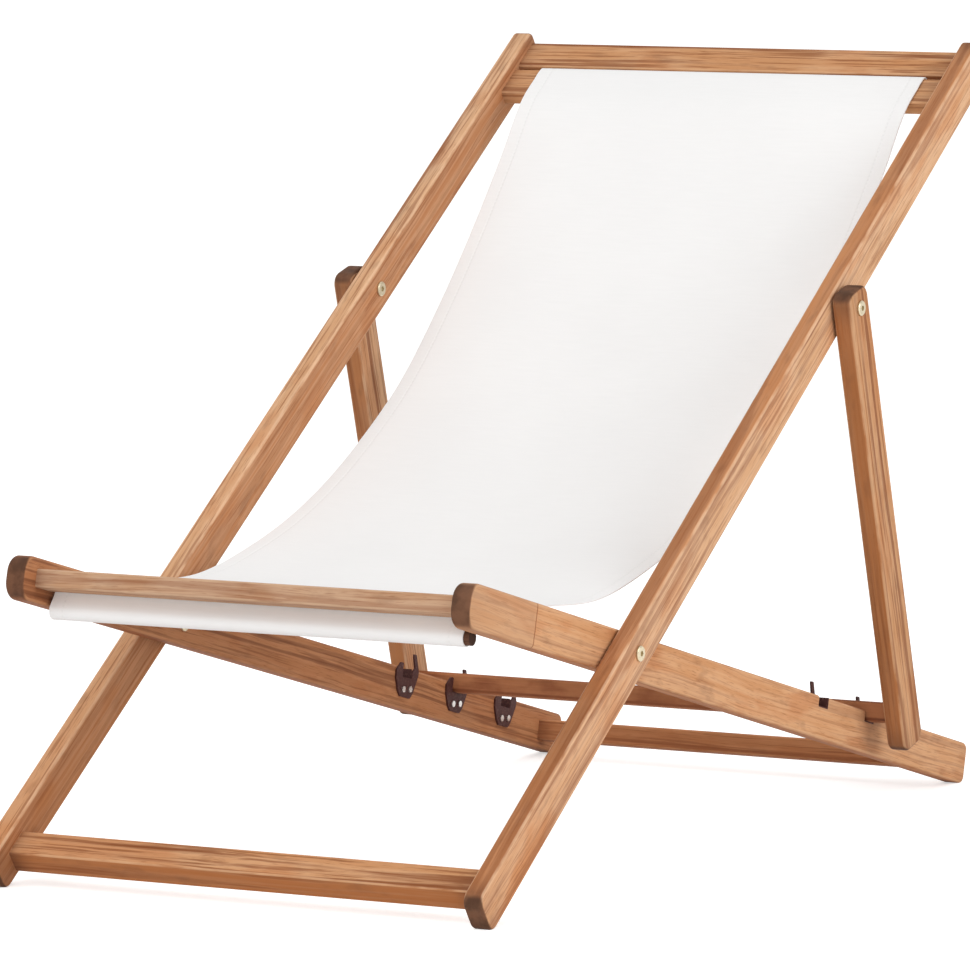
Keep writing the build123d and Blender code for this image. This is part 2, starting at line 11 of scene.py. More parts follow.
import bpy
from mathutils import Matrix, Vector

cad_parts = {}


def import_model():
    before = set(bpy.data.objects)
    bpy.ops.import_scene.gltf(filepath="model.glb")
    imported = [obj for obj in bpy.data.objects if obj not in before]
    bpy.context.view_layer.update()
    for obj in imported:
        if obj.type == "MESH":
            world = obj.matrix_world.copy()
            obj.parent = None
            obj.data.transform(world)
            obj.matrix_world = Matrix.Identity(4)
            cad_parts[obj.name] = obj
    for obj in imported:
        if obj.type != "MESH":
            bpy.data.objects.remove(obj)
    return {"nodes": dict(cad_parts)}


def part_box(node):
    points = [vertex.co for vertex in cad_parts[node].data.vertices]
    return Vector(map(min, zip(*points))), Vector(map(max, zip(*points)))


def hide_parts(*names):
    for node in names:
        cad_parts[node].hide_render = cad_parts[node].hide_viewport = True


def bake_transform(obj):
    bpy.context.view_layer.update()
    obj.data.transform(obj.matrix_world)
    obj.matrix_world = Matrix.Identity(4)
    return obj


LOG = logging.getLogger("deck_chair")

Pair = tuple[float, float]
Point = tuple[float, float, float]
Colour = tuple[float, float, float]

WHITE: Colour = (1.0, 1.0, 1.0)
BLACK: Colour = (0.0, 0.0, 0.0)
NOISE_MIDDLE = 0.5
CREASE_DEGREES = 40.0


class Slope(Enum):
    """The slope of each frame from front to back, in degrees."""

    BACK = 34.6
    SEAT = -14.5
    STRUT = -73.6

    @property
    def run(self) -> float:
        """Give how far back a metre along the frame reaches."""
        return math.cos(math.radians(self.value))

    @property
    def rise(self) -> float:
        """Give how far up a metre along the frame reaches."""
        return math.sin(math.radians(self.value))


def dimmed(tone: Colour, share: float) -> Colour:
    """Give a tone with each channel taken to a share of itself."""
    return tuple(share * channel for channel in tone)


@dataclass(frozen=True)
class WoodFinish:
    """Colours of one kind of timber.

    Attributes:
        light: Colour of the pale early wood.
        mid: Colour of most of the board.
        dark: Colour of the dark streaks.
        end: Colour of the end grain.
        edge: Painted shade colour that faces turned from the light take, darker and redder than
            the lit sides.
        warm: Colour of the redder patches.
    """

    light: Colour = (0.73, 0.435, 0.245)
    mid: Colour = (0.57, 0.275, 0.122)
    dark: Colour = (0.23, 0.068, 0.020)
    end: Colour = (0.150, 0.066, 0.036)
    edge: Colour = (0.29, 0.092, 0.028)
    warm: Colour = (0.49, 0.180, 0.058)


@dataclass(frozen=True)
class Layer:
    """One layer of noise in a board, stretched along its grain.

    Attributes:
        scale: How fine it is along the grain, across it and through the board.
        detail: How many finer layers it has.
        seeds: How far the board's seed moves it along the grain and across it.
        shows: The noise at which it begins to show, and at which it shows fully.
        share: How strongly it then shows.
    """

    scale: Point
    detail: float
    seeds: Pair
    shows: Pair = (0.0, 1.0)
    share: float = 1.0

    def shown(self, noise: Wire, strength: float = 1.0) -> Wire:
        """Give how strongly the layer shows for its noise."""
        return noise.clamped(*self.shows) * (self.share * strength)


@dataclass(frozen=True)
class Grain:
    """Figure, dirt, painted shade, pale worn corners with a painted highlight, and surface that
    all the boards have in common.

    A pair states where something begins to show and where it shows fully.

    Attributes:
        wander: Slow drift of the grain.
        bands: Growth bands.
        flecks: Short dark flecks.
        pores: Fine pores.
        patches: Broad redder patches.
        grime: Small spots of dirt.
        drift: How far the grain wanders across the board and through it, in metres.
        pale: Bands and patches that turn the middle tone light.
        pale_weights: How much the bands and the patches count there.
        shade_bands: Bands that turn the painted shade colour warm.
        top_face: Upward part of the normal over which the painted shade of a cross rail fades
            from its underside to its top.
        narrow_face: Part of the normal that makes a face of a long member a narrow one.
        ripe_reach: How far from the front end a board is redder, in metres.
        soil_and_shade_reach: How far from an end the dirt and painted contact shade show, in
            metres.
        soil_and_shade_long: Dirt and painted contact shade at the ends of a long member.
        soil_and_shade_cross: Dirt and painted contact shade at the ends of a cross rail.
        extra_soil_and_shade: Dirt and painted contact shade added there on faces with painted
            shade.
        corner: Part of the normals that makes a rounded corner.
        bare: Grime pattern that leaves a corner bare.
        ragged: How far a glued joint strays, in metres.
        glue: Half the width of the glue line, and where its stain ends, in metres.
        glue_share: How dark the glue line is.
        splice_share: How far the length before it is weathered.
        sawn: Grime pattern that darkens the end grain.
        sawn_shade: How bright the end grain is there.
        cut: Part of the normal that makes a face an end.
        cut_share: How far the end grain covers an end.
        roughness: Roughness of the oiled surface between its pores.
        pore_roughness: Roughness added by the pores.
        specular: Specular level of the oil.
        relief: How much bands, flecks and pores count in the relief.
        relief_strength: How strongly the relief shows.
        relief_depth: Depth of the relief in metres.
    """

    wander: Layer = Layer((3.0, 7.0, 7.0), 2.0, (1.0, 0.0))
    bands: Layer = Layer((1.9, 80.0, 110.0), 5.0, (1.0, 1.0), (0.50, 0.62), 0.74)
    flecks: Layer = Layer((8.0, 360.0, 420.0), 3.0, (-1.0, 0.0), (0.51, 0.65), 0.56)
    pores: Layer = Layer((55.0, 1000.0, 1200.0), 2.0, (0.0, 1.0), (0.56, 0.72), 0.42)
    patches: Layer = Layer((9.0, 12.0, 26.0), 3.0, (4.0, 0.0), (0.48, 0.64), 0.6)
    grime: Layer = Layer((24.0, 60.0, 60.0), 4.0, (-1.0, 0.0), (0.56, 0.74), 0.26)
    drift: Pair = (0.012, 0.018)
    pale: Pair = (0.37, 0.63)
    pale_weights: Pair = (0.6, 0.4)
    shade_bands: Pair = (0.42, 0.62)
    top_face: Pair = (-0.1, 0.75)
    narrow_face: Pair = (0.45, 0.85)
    ripe_reach: float = 0.45
    soil_and_shade_reach: float = 0.04
    soil_and_shade_long: float = 0.12
    soil_and_shade_cross: float = 0.40
    extra_soil_and_shade: float = 0.6
    corner: Pair = (0.20, 0.46)
    bare: Pair = (0.30, 0.60)
    ragged: float = 0.002
    glue: Pair = (0.0004, 0.0013)
    glue_share: float = 0.75
    splice_share: float = 0.35
    sawn: Pair = (0.36, 0.62)
    sawn_shade: float = 0.5
    cut: Pair = (0.22, 0.66)
    cut_share: float = 0.95
    roughness: float = 0.60
    pore_roughness: float = 0.14
    specular: float = 0.14
    relief: Point = (0.3, 0.3, 0.4)
    relief_strength: float = 0.25
    relief_depth: float = 0.0006


@dataclass(frozen=True)
class MetalFinish:
    """A metal's colour and surface.

    Attributes:
        colour: Base colour.
        worn: Colour of its worn or tarnished spots.
        metallic: How far it is bare metal rather than paint.
        roughness: Mean roughness.
        gloss: Specular level of its paint.
        smudges: How fine its smudges are.
        smudge_detail: How many finer layers they have.
        smudge_swing: How far they change its roughness.
        spots: How fine its worn spots are.
        spots_show: The noise at which a spot begins to show, and at which it shows fully.
        spots_share: How strongly it then shows.
    """

    colour: Colour
    worn: Colour
    metallic: float
    roughness: float
    gloss: float = 0.5
    smudges: float = 160.0
    smudge_detail: float = 3.0
    smudge_swing: float = 0.22
    spots: float = 420.0
    spots_show: Pair = (0.52, 0.70)
    spots_share: float = 0.6


@dataclass(frozen=True)
class FabricFinish:
    """Colour, weave and stitching of the sling.

    Attributes:
        colour: Colour of the cloth.
        thread: Distance between threads in metres.
        hem: Width of the side hems in metres.
        slubs: How fine the thicker threads are across the cloth and along it.
        clouds: How fine its broad changes of tone are.
        detail: How many finer layers both have.
        tone: The noise at which the cloth is dullest, and at which it is brightest.
        tone_weights: How much clouds and slubs count there.
        dull: How bright the dullest cloth is.
        seam: Half the width of the seam, and where its groove ends, in metres.
        stitch: Length of a stitch with its gap, in metres.
        stitch_shows: Part of that length's wave that is thread.
        stitch_share: How strongly a stitch shows.
        stitch_dull: How bright a stitch is.
        roughness: Roughness of the cloth.
        specular: Specular level of the cloth.
        sheen: Sheen of its fibres.
        relief: How much weave, slubs and seam count in the relief.
        relief_strength: How strongly the relief shows.
        relief_depth: Depth of the relief in metres.
    """

    colour: Colour = (0.918, 0.910, 0.903)
    thread: float = 0.0011
    hem: float = 0.014
    slubs: Pair = (30.0, 420.0)
    clouds: float = 5.0
    detail: float = 2.0
    tone: Pair = (0.3, 0.75)
    tone_weights: Pair = (0.6, 0.4)
    dull: float = 0.965
    seam: Pair = (0.0004, 0.0014)
    stitch: float = 0.005
    stitch_shows: Pair = (-0.2, 0.3)
    stitch_share: float = 0.16
    stitch_dull: float = 0.72
    roughness: float = 0.88
    specular: float = 0.18
    sheen: float = 0.12
    relief: Point = (0.25, 0.4, -2.2)
    relief_strength: float = 0.35
    relief_depth: float = 0.00035


TIMBER = WoodFinish()
PALE = WoodFinish(
    light=(0.75, 0.490, 0.310),
    mid=(0.61, 0.340, 0.180),
    warm=(0.53, 0.220, 0.085),
)
RUDDY = WoodFinish(
    light=(0.56, 0.265, 0.125),
    mid=(0.43, 0.175, 0.072),
    dark=(0.17, 0.052, 0.020),
    edge=(0.24, 0.078, 0.028),
    warm=(0.38, 0.130, 0.046),
)
WEATHERED = WoodFinish(
    light=(0.64, 0.430, 0.285),
    mid=(0.48, 0.280, 0.165),
    warm=(0.44, 0.220, 0.105),
)
# Darker, redder stock for the prop bar: partly its own tone, partly painted shade for the shadow
# it sits in below the seat.
SHADED_BAR_STOCK = WoodFinish(
    light=(0.52, 0.215, 0.095),
    mid=(0.40, 0.140, 0.058),
    dark=(0.17, 0.056, 0.024),
    edge=(0.17, 0.050, 0.022),
    warm=(0.30, 0.098, 0.040),
)
DOWEL = WoodFinish(
    light=(0.20, 0.095, 0.055),
    mid=(0.13, 0.058, 0.032),
    dark=(0.05, 0.022, 0.014),
    end=(0.09, 0.042, 0.026),
    edge=(0.10, 0.045, 0.025),
    warm=(0.15, 0.060, 0.030),
)
HOOK_PAINT = MetalFinish((0.066, 0.022, 0.019), (0.140, 0.066, 0.052), 0.0, 0.55, gloss=0.16)
BOLT_BRASS = MetalFinish((0.62, 0.54, 0.38), (0.40, 0.31, 0.18), 1.0, 0.32)
SCREW_ZINC = MetalFinish((0.72, 0.71, 0.68), (0.50, 0.48, 0.44), 1.0, 0.28)
CANVAS = FabricFinish()


@dataclass(frozen=True)
class Board:
    """What sets one board apart from the others.

    Attributes:
        seed: A number that gives it its own figure.
        across: Whether it runs across the chair rather than along its frame.
        finish: Its timber.
        shade: How bright it is against the others.
        figure: How strongly its dark streaks show.
        wear_and_highlight: How far its rounded corners are turned pale, worn and with a painted
            highlight.
        rim_shade: How far the narrow faces of a long member take the painted shade colour, as
            less light falls on them.
        flank_shade: How far its broad faces take it, as a painted shadow.
        under_shade: How far the front and underside of a cross rail take it, darker than its lit
            top.
        ripe: How far its front end leans towards the warm colour.
        splice: Where along the grain two lengths are glued end to end, or None.
    """

    seed: float
    across: bool = False
    finish: WoodFinish = TIMBER
    shade: float = 1.0
    figure: float = 1.0
    wear_and_highlight: float = 0.6
    rim_shade: float = 0.74
    flank_shade: float = 0.0
    under_shade: float = 0.0
    ripe: float = 0.0
    splice: float | None = None


class Wire:
    """A shader value that can be added, multiplied and mixed with plain operators.

    Args:
        shading: The tree that holds the value.
        socket: The output socket that gives it.
    """

    def __init__(self, shading: Shading, socket: bpy.types.NodeSocket) -> None:
        """Keep the tree and the socket."""
        self.shading = shading
        self.socket = socket

    def _math(self, operation: str, first: Wire | float, second: Wire | float) -> Wire:
        """Join two values in one maths node.

        Args:
            operation: Name of the maths operation.
            first: The first value.
            second: The second value.

        Returns:
            The result as a new value.
        """
        return self.shading.node("Math", {"operation": operation}, {0: first, 1: second})

    def __add__(self, other: Wire | float) -> Wire:
        """Add another value."""
        return self._math("ADD", self, other)

    def __radd__(self, other: float) -> Wire:
        """Add this value to a number."""
        return self._math("ADD", other, self)

    def __sub__(self, other: Wire | float) -> Wire:
        """Take another value away."""
        return self._math("SUBTRACT", self, other)

    def __rsub__(self, other: float) -> Wire:
        """Take this value from a number."""
        return self._math("SUBTRACT", other, self)

    def __mul__(self, other: Wire | float) -> Wire:
        """Multiply by another value."""
        return self._math("MULTIPLY", self, other)

    def __rmul__(self, other: float) -> Wire:
        """Multiply a number by this value."""
        return self._math("MULTIPLY", other, self)

    def __abs__(self) -> Wire:
        """Give the size of this value without its sign."""
        return self._math("ABSOLUTE", self, 0.0)

    def sine(self) -> Wire:
        """Give the sine of this value."""
        return self._math("SINE", self, 0.0)

    def clamped(self, low: float, high: float) -> Wire:
        """Spread the range from low to high over 0 to 1, and hold it there.

        Args:
            low: The value that gives 0.
            high: The value that gives 1.

        Returns:
            The held value.
        """
        sockets = {"Value": self, "From Min": low, "From Max": high}
        return self.shading.node("MapRange", {"interpolation_type": "SMOOTHSTEP"}, sockets)

    def mix(self, low: Wire | Colour, high: Wire | Colour) -> Wire:
        """Mix two colours by this value.

        Args:
            low: The colour at 0.
            high: The colour at 1.

        Returns:
            The mixed colour.
        """
        return self.shading.node("Mix", {"data_type": "RGBA"}, {0: self, 6: low, 7: high}, 2)

    def split(self) -> tuple[Wire, Wire, Wire]:
        """Give the three parts of this vector."""
        node = self.shading.node("SeparateXYZ", {}, {0: self}).socket.node
        return tuple(Wire(self.shading, socket) for socket in node.outputs)


@dataclass
class Shading:
    """A node tree under construction, with the shader that its values feed.

    Attributes:
        name: Name of the material or sky that holds the tree.
        tree: The node tree.
        shader: Its main shader.
    """

    name: str
    tree: bpy.types.NodeTree = field(init=False)
    shader: bpy.types.Node = field(init=False)

    def feed(self, socket: bpy.types.NodeSocket, value: Wire | float | Colour) -> None:
        """Link or set one input.

        Args:
            socket: The input.
            value: A value to link, a number or a colour.
        """
        if isinstance(value, Wire):
            self.tree.links.new(value.socket, socket)
        elif isinstance(value, tuple) and socket.type == "RGBA":
            socket.default_value = (*value, 1.0)
        else:
            socket.default_value = value

    def node(self, kind: str, settings: dict, sockets: dict, output: int | str = 0) -> Wire:
        """Add one shader node.

        Args:
            kind: The node's type, without its prefix.
            settings: Properties of the node, which are set first.
            sockets: Inputs by name or number, with their values or links.
            output: The output that is wanted.

        Returns:
            The wanted output.
        """
        node = self.tree.nodes.new(f"ShaderNode{kind}")
        for key, value in settings.items():
            setattr(node, key, value)
        for key, value in sockets.items():
            self.feed(node.inputs[key], value)
        return Wire(self, node.outputs[output])

    def set(self, **values: Wire | float | Colour) -> None:
        """Set inputs of the main shader.

        Args:
            values: Input names, with an underscore for each space, and their values.
        """
        for key, value in values.items():
            self.feed(self.shader.inputs[key.replace("_", " ")], value)

    def background_rays(self) -> Wire:
        """Tell the rays that show the background from those that carry its light.

        Returns:
            1 for rays that see it plainly, in gloss or through glass, and 0 for the rest.
        """
        rays = self.node("LightPath", {}, {}).socket.node.outputs
        kinds = ("Is Camera Ray", "Is Glossy Ray", "Is Transmission Ray")
        seen, glossy, through = (Wire(self, rays[kind]) for kind in kinds)
        return seen + glossy + through


@dataclass
class Sky(Shading):
    """A sky that lights the object plainly and shows as white.

    Attributes:
        level: Strength of its light on the object.
        data: The finished sky.
    """

    level: float = 0.62
    data: bpy.types.World = field(init=False)

    def __post_init__(self) -> None:
        """Make the sky."""
        self.data = bpy.data.worlds.new(self.name)
        self.data.use_nodes = True
        self.tree = self.data.node_tree
        self.shader = self.tree.nodes["Background"]
        strength = self.level + self.background_rays() * (1.0 - self.level)
        self.set(Color=WHITE, Strength=strength)


@dataclass
class Material(Shading):
    """A material under construction, with its tree and its main shader.

    Attributes:
        data: The material itself.
    """

    data: bpy.types.Material = field(init=False)

    def __post_init__(self) -> None:
        """Make the empty material."""
        self.data = bpy.data.materials.new(self.name)
        self.data.use_nodes = True
        self.tree = self.data.node_tree
        self.shader = self.tree.nodes["Principled BSDF"]

    def place(self, kind: str = "Object") -> Wire:
        """Give a point, or with "Normal" its normal, in the row frame at rest."""
        return self.node("TexCoord", {}, {}, kind)

    def join(self, x: Wire | float, y: Wire | float, z: Wire | float) -> Wire:
        """Join three values into one vector."""
        return self.node("CombineXYZ", {}, {0: x, 1: y, 2: z})

    def noise(self, vector: Wire, scale: float = 1.0, detail: float = 4.0) -> Wire:
        """Give smooth noise from 0 to 1.

        Args:
            vector: Where the noise is read.
            scale: How fine it is.
            detail: How many finer layers it has.

        Returns:
            The noise.
        """
        return self.node("TexNoise", {}, {"Vector": vector, "Scale": scale, "Detail": detail})

    def bump(self, height: Wire, strength: float, distance: float) -> None:
        """Let a height ruffle the surface.

        Args:
            height: The height.
            strength: How strongly it shows.
            distance: Its depth in metres.
        """
        sockets = {"Strength": strength, "Distance": distance, "Height": height}
        self.set(Normal=self.node("Bump", {}, sockets))


@dataclass
class Timber(Material):
    """Timber whose grain runs along a member.

    Attributes:
        slope: The slope of the member's frame.
        board: Its finish, its own figure, its pale worn corners and its painted shade.
        ends: Places of its two ends along the grain.
        grain: What it has in common with the other boards.
    """

    slope: Slope
    board: Board
    ends: Pair
    grain: Grain = Grain()

    def axes(self, kind: str) -> tuple[Wire, Wire, Wire]:
        """Measure a point or a normal by the board.

        Args:
            kind: "Object" for the point, "Normal" for its normal.

        Returns:
            Its parts along the grain, across it and through the frame.
        """
        x, y, z = self.place(kind).split()
        length = y * self.slope.run + z * self.slope.rise
        depth = z * self.slope.run - y * self.slope.rise
        return (x, length, depth) if self.board.across else (length, x, depth)

    def layer(self, layer: Layer, along: Wire, side: Wire, depth: Wire) -> Wire:
        """Give the noise of one layer.

        Args:
            layer: The layer.
            along: Place along the grain.
            side: Place across it.
            depth: Place through the frame.

        Returns:
            The noise.
        """
        fore = along * layer.scale[0] + layer.seeds[0] * self.board.seed
        off = side * layer.scale[1] + layer.seeds[1] * self.board.seed
        return self.noise(self.join(fore, off, depth * layer.scale[2]), detail=layer.detail)

    def edge(self, narrow: Wire) -> Wire:
        """Find how far a face takes the painted shade colour.

        Args:
            narrow: Part of its normal through the frame.

        Returns:
            The share of the painted shade colour.
        """
        board, grain = self.board, self.grain
        if board.across:
            _, _, upward = self.place("Normal").split()
            return (1.0 - upward.clamped(*grain.top_face)) * board.under_shade
        return abs(narrow).clamped(*grain.narrow_face) * (board.rim_shade - board.flank_shade) + board.flank_shade

    def spliced(self, colour: Wire, along: Wire, stray: Wire) -> Wire:
        """Glue two lengths end to end.

        Args:
            colour: The board's colour so far.
            along: Place along the grain.
            stray: Noise by which the joint strays.

        Returns:
            The colour with a weathered length in front of a glue line.
        """
        grain, board = self.grain, self.board
        line, stain = grain.glue
        past = along - board.splice + (stray - NOISE_MIDDLE) * grain.ragged
        before = (1.0 - past.clamped(-line, line)) * grain.splice_share
        glued = (1.0 - abs(past).clamped(line, stain)) * grain.glue_share
        weathered = before.mix(colour, dimmed(WEATHERED.mid, board.shade))
        return glued.mix(weathered, dimmed(board.finish.dark, board.shade))

    def grow(self) -> bpy.types.Material:
        """Lay the board's figure, painted shade, dirt with painted contact shade, and pale worn
        corners with a painted highlight over each other.

        Returns:
            The finished material.
        """
        board, grain, finish = self.board, self.grain, self.board.finish
        tones = (finish.light, finish.mid, finish.dark, finish.end, finish.edge, finish.warm)
        light, mid, dark, end, shade_tone, warm = (dimmed(tone, board.shade) for tone in tones)
        first, last = self.ends
        along, side, depth = self.axes("Object")
        end_on, flat, narrow = self.axes("Normal")
        # Painted shade: narrow faces, broad sides in shadow, and the fronts and undersides of
        # cross rails turn darker and redder, as if less light fell on them.
        edge = self.edge(narrow)

        wander = self.layer(grain.wander, along, side, depth)
        strayed = (along, side + wander * grain.drift[0], depth + wander * grain.drift[1])
        bands = self.layer(grain.bands, *strayed)
        flecks = self.layer(grain.flecks, *strayed)
        pores = self.layer(grain.pores, *strayed)
        patches = self.layer(grain.patches, along, side, depth)
        grime = self.layer(grain.grime, along, side, depth)

        pale = bands * grain.pale_weights[0] + patches * grain.pale_weights[1]
        ripe = (1.0 - (along - first).clamped(0.0, grain.ripe_reach)) * board.ripe
        body = pale.clamped(*grain.pale).mix(mid, light)
        warmed = (grain.patches.shown(patches) + ripe).mix(body, warm)
        lined = grain.bands.shown(bands, board.figure).mix(warmed, dark)
        flecked = grain.flecks.shown(flecks, board.figure).mix(lined, dark)
        pored = grain.pores.shown(pores).mix(flecked, dark)
        side_shaded = edge.mix(pored, bands.clamped(*grain.shade_bands).mix(shade_tone, warm))

        # Dirt and painted contact shade near both ends, where the members meet, stronger on
        # faces with painted shade, with small spots of grime all over.
        past_first = (along - first).clamped(0.0, grain.soil_and_shade_reach)
        before_last = (last - along).clamped(0.0, grain.soil_and_shade_reach)
        joint_soil_and_shade = edge * grain.extra_soil_and_shade + (grain.soil_and_shade_cross if board.across else grain.soil_and_shade_long)
        soil_and_shade = (1.0 - past_first * before_last) * joint_soil_and_shade + grain.grime.shown(grime)
        soiled_and_shaded = soil_and_shade.mix(side_shaded, end)
        # Rounded corners turned pale: worn, and with a painted highlight along them.
        corner = abs(flat * narrow).clamped(*grain.corner) * grime.clamped(*grain.bare)
        colour = (corner * board.wear_and_highlight).mix(soiled_and_shaded, light)
        if board.splice is not None:
            colour = self.spliced(colour, along, flecks)
        sawn = grime.clamped(*grain.sawn).mix(end, dimmed(end, grain.sawn_shade))
        colour = (abs(end_on).clamped(*grain.cut) * grain.cut_share).mix(colour, sawn)

        self.set(Base_Color=colour, Roughness=grain.roughness + pores * grain.pore_roughness)
        self.set(Specular_IOR_Level=grain.specular)
        weights = zip((bands, flecks, pores), grain.relief)
        of_bands, of_flecks, of_pores = (height * weight for height, weight in weights)
        self.bump(of_bands + of_flecks + of_pores, grain.relief_strength, grain.relief_depth)
        return self.data


def metal_material(name: str, finish: MetalFinish) -> bpy.types.Material:
    """Make a metal with slight smudges and worn spots.

    Args:
        name: The material's name.
        finish: Its colour and surface.

    Returns:
        The material.
    """
    material = Material(name)
    smudge = material.noise(material.place(), finish.smudges, finish.smudge_detail)
    spots = material.noise(material.place(), finish.spots).clamped(*finish.spots_show)
    colour = (spots * finish.spots_share).mix(finish.colour, finish.worn)
    roughness = finish.roughness + (smudge - NOISE_MIDDLE) * finish.smudge_swing
    material.set(Base_Color=colour, Roughness=roughness)
    material.set(Metallic=finish.metallic, Specular_IOR_Level=finish.gloss)
    return material.data


def canvas_material(name: str, finish: FabricFinish, half: float) -> bpy.types.Material:
    """Make plain woven canvas with a stitched hem down each side.

    Args:
        name: The material's name.
        finish: Its colour, weave and stitching.
        half: Half the sling's width in metres.

    Returns:
        The material.
    """
    material = Material(name)
    across, along, _ = material.node("UVMap", {"uv_map": "weave"}, {}).split()
    turn = math.tau / finish.thread
    weave = (across * turn).sine() * (along * turn).sine()
    threads = material.join(across * finish.slubs[0], along * finish.slubs[1], 0.0)
    slubs = material.noise(threads, detail=finish.detail)
    clouds = material.noise(material.join(across, along, 0.0), finish.clouds, finish.detail)
    from_seam = half - abs(across) - finish.hem
    seam = 1.0 - abs(from_seam).clamped(*finish.seam)
    stitch = seam * (along * (math.tau / finish.stitch)).sine().clamped(*finish.stitch_shows)
    tone = clouds * finish.tone_weights[0] + slubs * finish.tone_weights[1]
    body = tone.clamped(*finish.tone).mix(dimmed(finish.colour, finish.dull), finish.colour)
    thread = dimmed(finish.colour, finish.stitch_dull)
    material.set(Base_Color=(stitch * finish.stitch_share).mix(body, thread))
    material.set(Roughness=finish.roughness, Specular_IOR_Level=finish.specular)
    material.set(Sheen_Weight=finish.sheen)
    weights = zip((weave, slubs, seam), finish.relief)
    of_weave, of_slubs, of_seam = (height * weight for height, weight in weights)
    relief = of_weave + of_slubs + of_seam
    material.bump(relief, finish.relief_strength, finish.relief_depth)
    return material.data


@dataclass
class Frame:
    """One wooden frame: its slope and its boards.

    Attributes:
        slope: Its slope from front to back.
        boards: Node names and the boards that they are cut from.
    """

    slope: Slope
    boards: dict[str, Board]

    def ends(self, piece: bpy.types.Object, board: Board) -> Pair:
        """Find where a member's two ends lie along its grain.

        Args:
            piece: The member.
            board: The board that it is cut from.

        Returns:
            The places of its two ends.
        """
        lengthwise = (0.0, self.slope.run, self.slope.rise)
        way = Vector((1.0, 0.0, 0.0) if board.across else lengthwise)
        places = [vertex.co.dot(way) for vertex in piece.data.vertices]
        return min(places), max(places)

    def dress(self, nodes: dict[str, bpy.types.Object]) -> None:
        """Give each member its own board.

        Args:
            nodes: The CAD nodes by name.
        """
        for name, board in self.boards.items():
            ends = self.ends(nodes[name], board)
            paint(nodes[name], Timber(f"timber_{name}", self.slope, board, ends).grow())
            LOG.info("%s dressed", name)


@dataclass
class Hardware:
    """Hooks, screws, bolts and washers.

    Attributes:
        hooks: Names of the hook plates.
        bright: Names of the zinc-plated pieces.
        brass: Names of the pale brass pieces.
    """

    hooks: Sequence[str]
    bright: Sequence[str]
    brass: Sequence[str]

    def dress(self, nodes: dict[str, bpy.types.Object]) -> None:
        """Give each piece its metal.

        Args:
            nodes: The CAD nodes by name.
        """
        kinds = (
            (self.hooks, metal_material("hook_paint", HOOK_PAINT)),
            (self.bright, metal_material("screw_zinc", SCREW_ZINC)),
            (self.brass, metal_material("bolt_brass", BOLT_BRASS)),
        )
        for names, material in kinds:
            for name in names:
                paint(nodes[name], material)
                LOG.info("%s dressed", name)


@dataclass(frozen=True)
class Hem:
    """A hem of the sling round one of its dowels.

    Attributes:
        slope: Slope of the frame that holds the dowel.
        along: The dowel's place along the frame from the pivot, in metres.
        across: Its place from the frame's middle.
        radius: Radius of the hem.
        start: Angle of its first point from the frame's outward side, in degrees.
        end: Angle of its last point.
        steps: How many steps it is made in.
    """

    slope: Slope
    along: float
    across: float
    radius: float
    start: float
    end: float
    steps: int = 18


